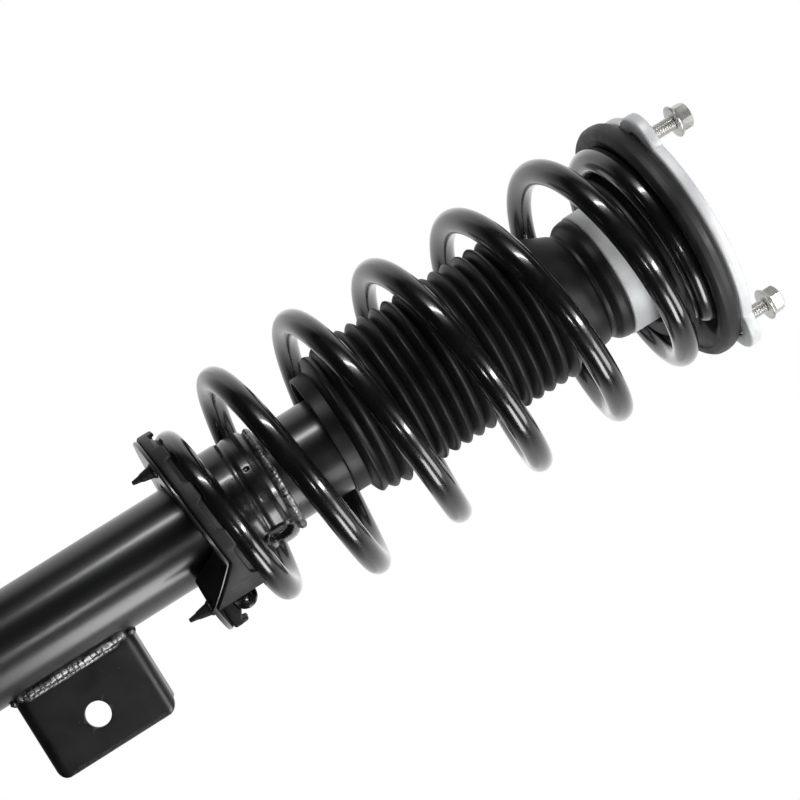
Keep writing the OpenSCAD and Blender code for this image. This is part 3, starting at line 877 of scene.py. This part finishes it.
def nut(across_flats, height, bore, flange_r, flange_t):
    """A flange nut standing on z = 0, with chamfered corners and a countersunk bore."""
    flat = across_flats / 2

    def section(a):
        edge = hexagon(a, across_flats)
        drop = max(0, edge - flat) * 0.62
        return [
            (bore + 0.6, 0, 0), (flange_r - 0.5, 0, 0.3), (flange_r, 0.5, 0.3),
            (flange_r - 0.1, flange_t * 0.6, 0.3),
            (min(edge + 0.7, flange_r - 0.8), flange_t + 0.5, 0.5), (edge, flange_t + 1.3, 0.4),
            (edge, height - 0.4 - drop, 0.25), (flat * 0.97, height, 0.3), (bore + 0.7, height, 0.1),
            (bore, height - 0.7, 0.1), (bore, 0.6, 0.1)]
    return formed(section, 144, 3)


def make_studs():
    face = span("mount_plate")[2]
    _, low, top = span("mount_studs")
    nut_lift = [14, 15.5, 12.5]
    bars, nuts = [], []
    for i, stud in enumerate(STUD_ANGLES):
        x, y, _ = polar(STUD_CIRCLE, stud, 0)
        bar = threaded([
            (low, 5.6), (low + 0.5, 6.9), (low + 2.4, 7), (low + 2.5, 4.2), (face, 4.2), (face + 0.1, 4),
            (top - 1, 4), (top, 3.1)], face + 0.6, top, 1.25, 0.55)
        bars.append(placed(bar, x, y, 0, stud))
        turn = stud + math.radians(10 + 25 * i)
        nuts.append(placed(nut(13, 9, 3.55, 9, 1.8), x, y, face + nut_lift[i], turn))
    piece("stud_bars", bars, "mount_studs", sharp=35)
    piece("flange_nuts", nuts, "stud_nuts", sharp=30)


def make_centre():
    """What shows through the mount's centre hole: rubber, sleeve, washer, nut and the rod's end."""
    face = span("mount_plate")[2]
    hub_inner = 33.8
    sleeve_top = face - 4
    piece("bush_rubber", [lathe([
        (12, 500, 0), (15, 498.5, 1), (20, 502, 2), (26, 502, 2), (hub_inner - 0.05, 499, 1),
        (hub_inner - 0.05, face - 6.6, 0.5), (30, face - 6.6, 1.5), (27, face - 10.5, 2),
        (20, face - 10.5, 1), (12, sleeve_top - 1.5, 1)], 160, 6)], "mount_bush")
    piece("bush_tube", [lathe([
        (7.1, 497, 0.3), (12, 497, 0.5), (12, sleeve_top, 0.5), (7.1, sleeve_top, 0.3)], 96)],
        "bush_sleeve")
    piece("washer_disc", [lathe([
        (7.1, sleeve_top, 0.3), (24, sleeve_top, 0.9), (24, sleeve_top + 3, 1.3), (15, sleeve_top + 3, 0.5),
        (14.6, sleeve_top + 2.8, 0.3), (7.1, sleeve_top + 2.8, 0.3)], 128)], "rod_washer")
    nut_z = sleeve_top + 3
    piece("rod_end_nut", [placed(nut(21, 10, 6.75, 14, 2), z=nut_z, turn=0.2)], "rod_nut", sharp=30)
    _, low, top = span("piston_rod")
    bar = threaded([
        (low, 5.2), (low + 0.8, 6), (low + 36, 6), (low + 36.1, 10.5), (low + 36.8, 11), (493.4, 11),
        (494, 10.4), (494.05, 7), (top - 1, 7), (top - 0.1, 6.1), (top, 5.9)], 531, top, 1.5, 0.55, 96)
    rod = piece("damper_rod", [bar], "piston_rod", sharp=35)
    socket = formed(lambda a: [(0.01, top + 2, 0), (hexagon(a, 6), top + 2, 0), (hexagon(a, 6), top - 5, 0),
                               (0.01, top - 5.6, 0)], 96, 1)
    drill(rod, [socket])


# ---------- CAD nodes that stay ----------

def paint_cad_nodes():
    """Every node that no piece stands for keeps its shape and takes its slot's material."""
    for name, thing in frame["nodes"].items():
        thing.data.materials.clear()
        thing.data.materials.append(surface(SLOT_OF[name]))


# ---------- studio ----------

def softbox(name, azimuth, elevation, width, height, watts, distance=1.6):
    """A soft light that faces the strut. Azimuth runs from -Y towards +X, elevation from level to +Z."""
    centre = Vector((0, 0, 0.28))
    a, e = math.radians(azimuth), math.radians(elevation)
    away = Vector((math.sin(a) * math.cos(e), -math.cos(a) * math.cos(e), math.sin(e)))
    light = bpy.data.lights.new(name, "AREA")
    light.shape = "RECTANGLE"
    light.size = width
    light.size_y = height
    light.energy = watts
    lamp = bpy.data.objects.new(name, light)
    lamp.location = centre + away * distance
    lamp.rotation_euler = away.to_track_quat("Z", "Y").to_euler()
    bpy.context.scene.collection.objects.link(lamp)


def light_studio():
    """Softboxes in front and a glow that reflects bright behind the strut and dark in front of it."""
    scene = bpy.context.scene
    scene.view_settings.view_transform = "Standard"
    world = bpy.data.worlds.new("studio")
    scene.world = world
    world.use_nodes = True
    world.node_tree.nodes.clear()
    shader = Shader(world.node_tree)
    direction = shader.add("TexCoord").outputs["Generated"]
    depth = shader.add("SeparateXYZ", {"Vector": direction}).outputs["Y"]
    glow = shader.add("ValToRGB", {"Fac": shader.ranged(depth, -1, 1, 0, 1)})
    ramp = glow.color_ramp
    for place, value in ((0.0, 0.012), (0.3, 0.02), (0.47, 0.05), (0.53, 0.3), (0.64, 0.62)):
        stop = ramp.elements[0] if place == 0 else ramp.elements.new(place)
        stop.position = place
        stop.color = (value, value, value, 1)
    ramp.elements[-1].color = (1, 1, 1, 1)
    seen = shader.add("LightPath").outputs["Is Camera Ray"]
    colour = shader.mixed(seen, glow.outputs["Color"], (1, 1, 1, 1))
    background = shader.add("Background", {"Color": colour, "Strength": 1.0})
    shader.add("OutputWorld", {"Surface": background.outputs["Background"]})
    softbox("strip_left", -48, 14, 0.14, 1.1, 9)
    softbox("strip_right_low", 20.5, -27, 0.16, 1.3, 14)
    softbox("strip_right_high", 22, 44, 0.16, 0.7, 9)
    softbox("softbox_right_low", 67, -8, 0.88, 0.85, 17)
    softbox("softbox_right_high", 62, 40, 0.8, 0.6, 7)


def lay_floor():
    """A white floor under the tube's end. In reflections it is bright behind the strut only."""
    size, steps = 6000, 24
    rows = [[(-size / 2 + size * i / steps, -size / 2 + size * j / steps, 0) for i in range(steps + 1)]
            for j in range(steps + 1)]
    points, faces = skin(rows, looped=False)
    mesh = bpy.data.meshes.new("floor")
    mesh.from_pydata([Vector(p) * MM for p in points], [], faces)
    floor = bpy.data.objects.new("floor", mesh)
    bpy.context.scene.collection.objects.link(floor)
    made = bpy.data.materials.new("floor_paint")
    made.use_nodes = True
    made.node_tree.nodes.clear()
    shader = Shader(made.node_tree)
    place = shader.add("TexCoord").outputs["Object"]
    tone = shader.ranged(shader.noise(place, 90), 0.3, 0.7, 0.88, 0.92)
    depth = shader.add("SeparateXYZ", {"Vector": place}).outputs["Y"]
    behind = shader.ranged(depth, 0.0, 0.5, 0.02, 0.75)
    level = shader.add("Math", {0: behind, 1: tone}, operation="MULTIPLY").outputs[0]
    sheen = shader.add("Emission", {"Color": (1, 1, 1, 1), "Strength": level})
    glow = shader.add("Emission", {"Color": (1, 1, 1, 1), "Strength": 1.0})
    seen = shader.add("LightPath").outputs["Is Camera Ray"]
    both = shader.add("MixShader", {0: seen, 1: sheen.outputs["Emission"], 2: glow.outputs["Emission"]})
    shader.add("OutputMaterial", {"Surface": both.outputs["Shader"]})
    mesh.materials.append(made)


paint_cad_nodes()
make_tube()
make_base()
make_bracket()
make_bracket_welds()
make_lower_seat()
make_lower_pad()
make_spring()
make_boot()
make_bump_stop()
make_upper_ring()
make_plate()
make_studs()
make_centre()
light_studio()
lay_floor()
